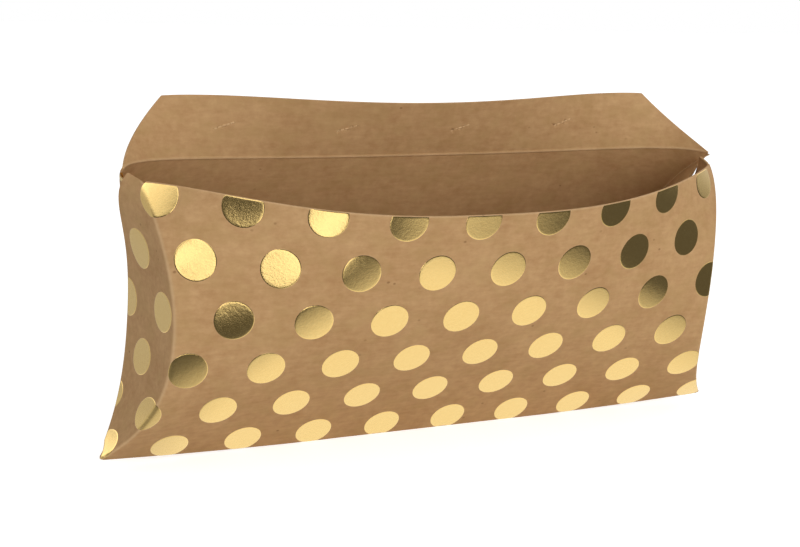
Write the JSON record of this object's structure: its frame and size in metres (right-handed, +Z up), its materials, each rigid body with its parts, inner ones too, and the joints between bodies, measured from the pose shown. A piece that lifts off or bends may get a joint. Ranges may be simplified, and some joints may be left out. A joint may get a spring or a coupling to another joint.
{
  "type": "favor box",
  "caption": "Pillow-shaped kraft card favor box with foil dots on its outer face, standing on its bottom fold with its long top side open and the closure flap up.",
  "frame": {"origin": "middle of the bottom fold's underside, where the box stands", "axes": "+X along the bottom fold to the right seen from the front, -Y towards the front, +Z up"},
  "size_m": [0.1726, 0.0538, 0.0867],
  "materials": {
    "kraft_card": "uncoated brown kraft card, matt, with a fine fibre fleck",
    "kraft_crease": "creased kraft card, fibres slightly raised",
    "gold_foil": "hot-stamped pale gold foil, satin"
  },
  "bodies": {
    "back": {"back_panel": "kraft_card", "bottom_fold": "kraft_crease", "flap_fold": "kraft_crease", "left_inner_fold": "kraft_crease", "right_inner_fold": "kraft_crease", "back_foil": "gold_foil"},
    "front": {"front_panel": "kraft_card", "left_outer_fold": "kraft_crease", "right_outer_fold": "kraft_crease", "front_foil": "gold_foil"},
    "flap": {"closure_flap": "kraft_card", "flap_foil": "gold_foil"},
    "left_outer": {"left_outer_end_flap": "kraft_card", "left_outer_foil": "gold_foil"},
    "right_outer": {"right_outer_end_flap": "kraft_card", "right_outer_foil": "gold_foil"},
    "left_inner": {"left_inner_end_flap": "kraft_card", "left_inner_foil": "gold_foil"},
    "right_inner": {"right_inner_end_flap": "kraft_card", "right_inner_foil": "gold_foil"}
  },
  "joints": [
    {"name": "closure_flap_fold", "type": "hinge", "parent": "back", "child": "flap", "pos_m": [0, 0.008, 0.071], "axis": [1, 0, 0], "range_deg": [-30, 65], "deforming": ["flap_fold"]},
    {"name": "mouth_opening", "type": "hinge", "parent": "back", "child": "front", "pos_m": [0, 0, 0.00022], "axis": [1, 0, 0], "range_deg": [-2, 8], "deforming": ["bottom_fold"]},
    {"name": "left_outer_flap_fold", "type": "hinge", "parent": "front", "child": "left_outer", "pos_m": [-0.0738, -0.0215, 0.0346], "axis": [0, 0, 1], "range_deg": [0, 15], "deforming": ["left_outer_fold"]},
    {"name": "right_outer_flap_fold", "type": "hinge", "parent": "front", "child": "right_outer", "pos_m": [0.0738, -0.0215, 0.0346], "axis": [0, 0, -1], "range_deg": [0, 15], "deforming": ["right_outer_fold"]},
    {"name": "left_inner_flap_fold", "type": "hinge", "parent": "back", "child": "left_inner", "pos_m": [-0.0736, 0.0138, 0.0361], "axis": [0, 0, 1], "range_deg": [0, 12], "deforming": ["left_inner_fold"]},
    {"name": "right_inner_flap_fold", "type": "hinge", "parent": "back", "child": "right_inner", "pos_m": [0.0736, 0.0138, 0.0361], "axis": [0, 0, -1], "range_deg": [0, 12], "deforming": ["right_inner_fold"]}
  ]
}
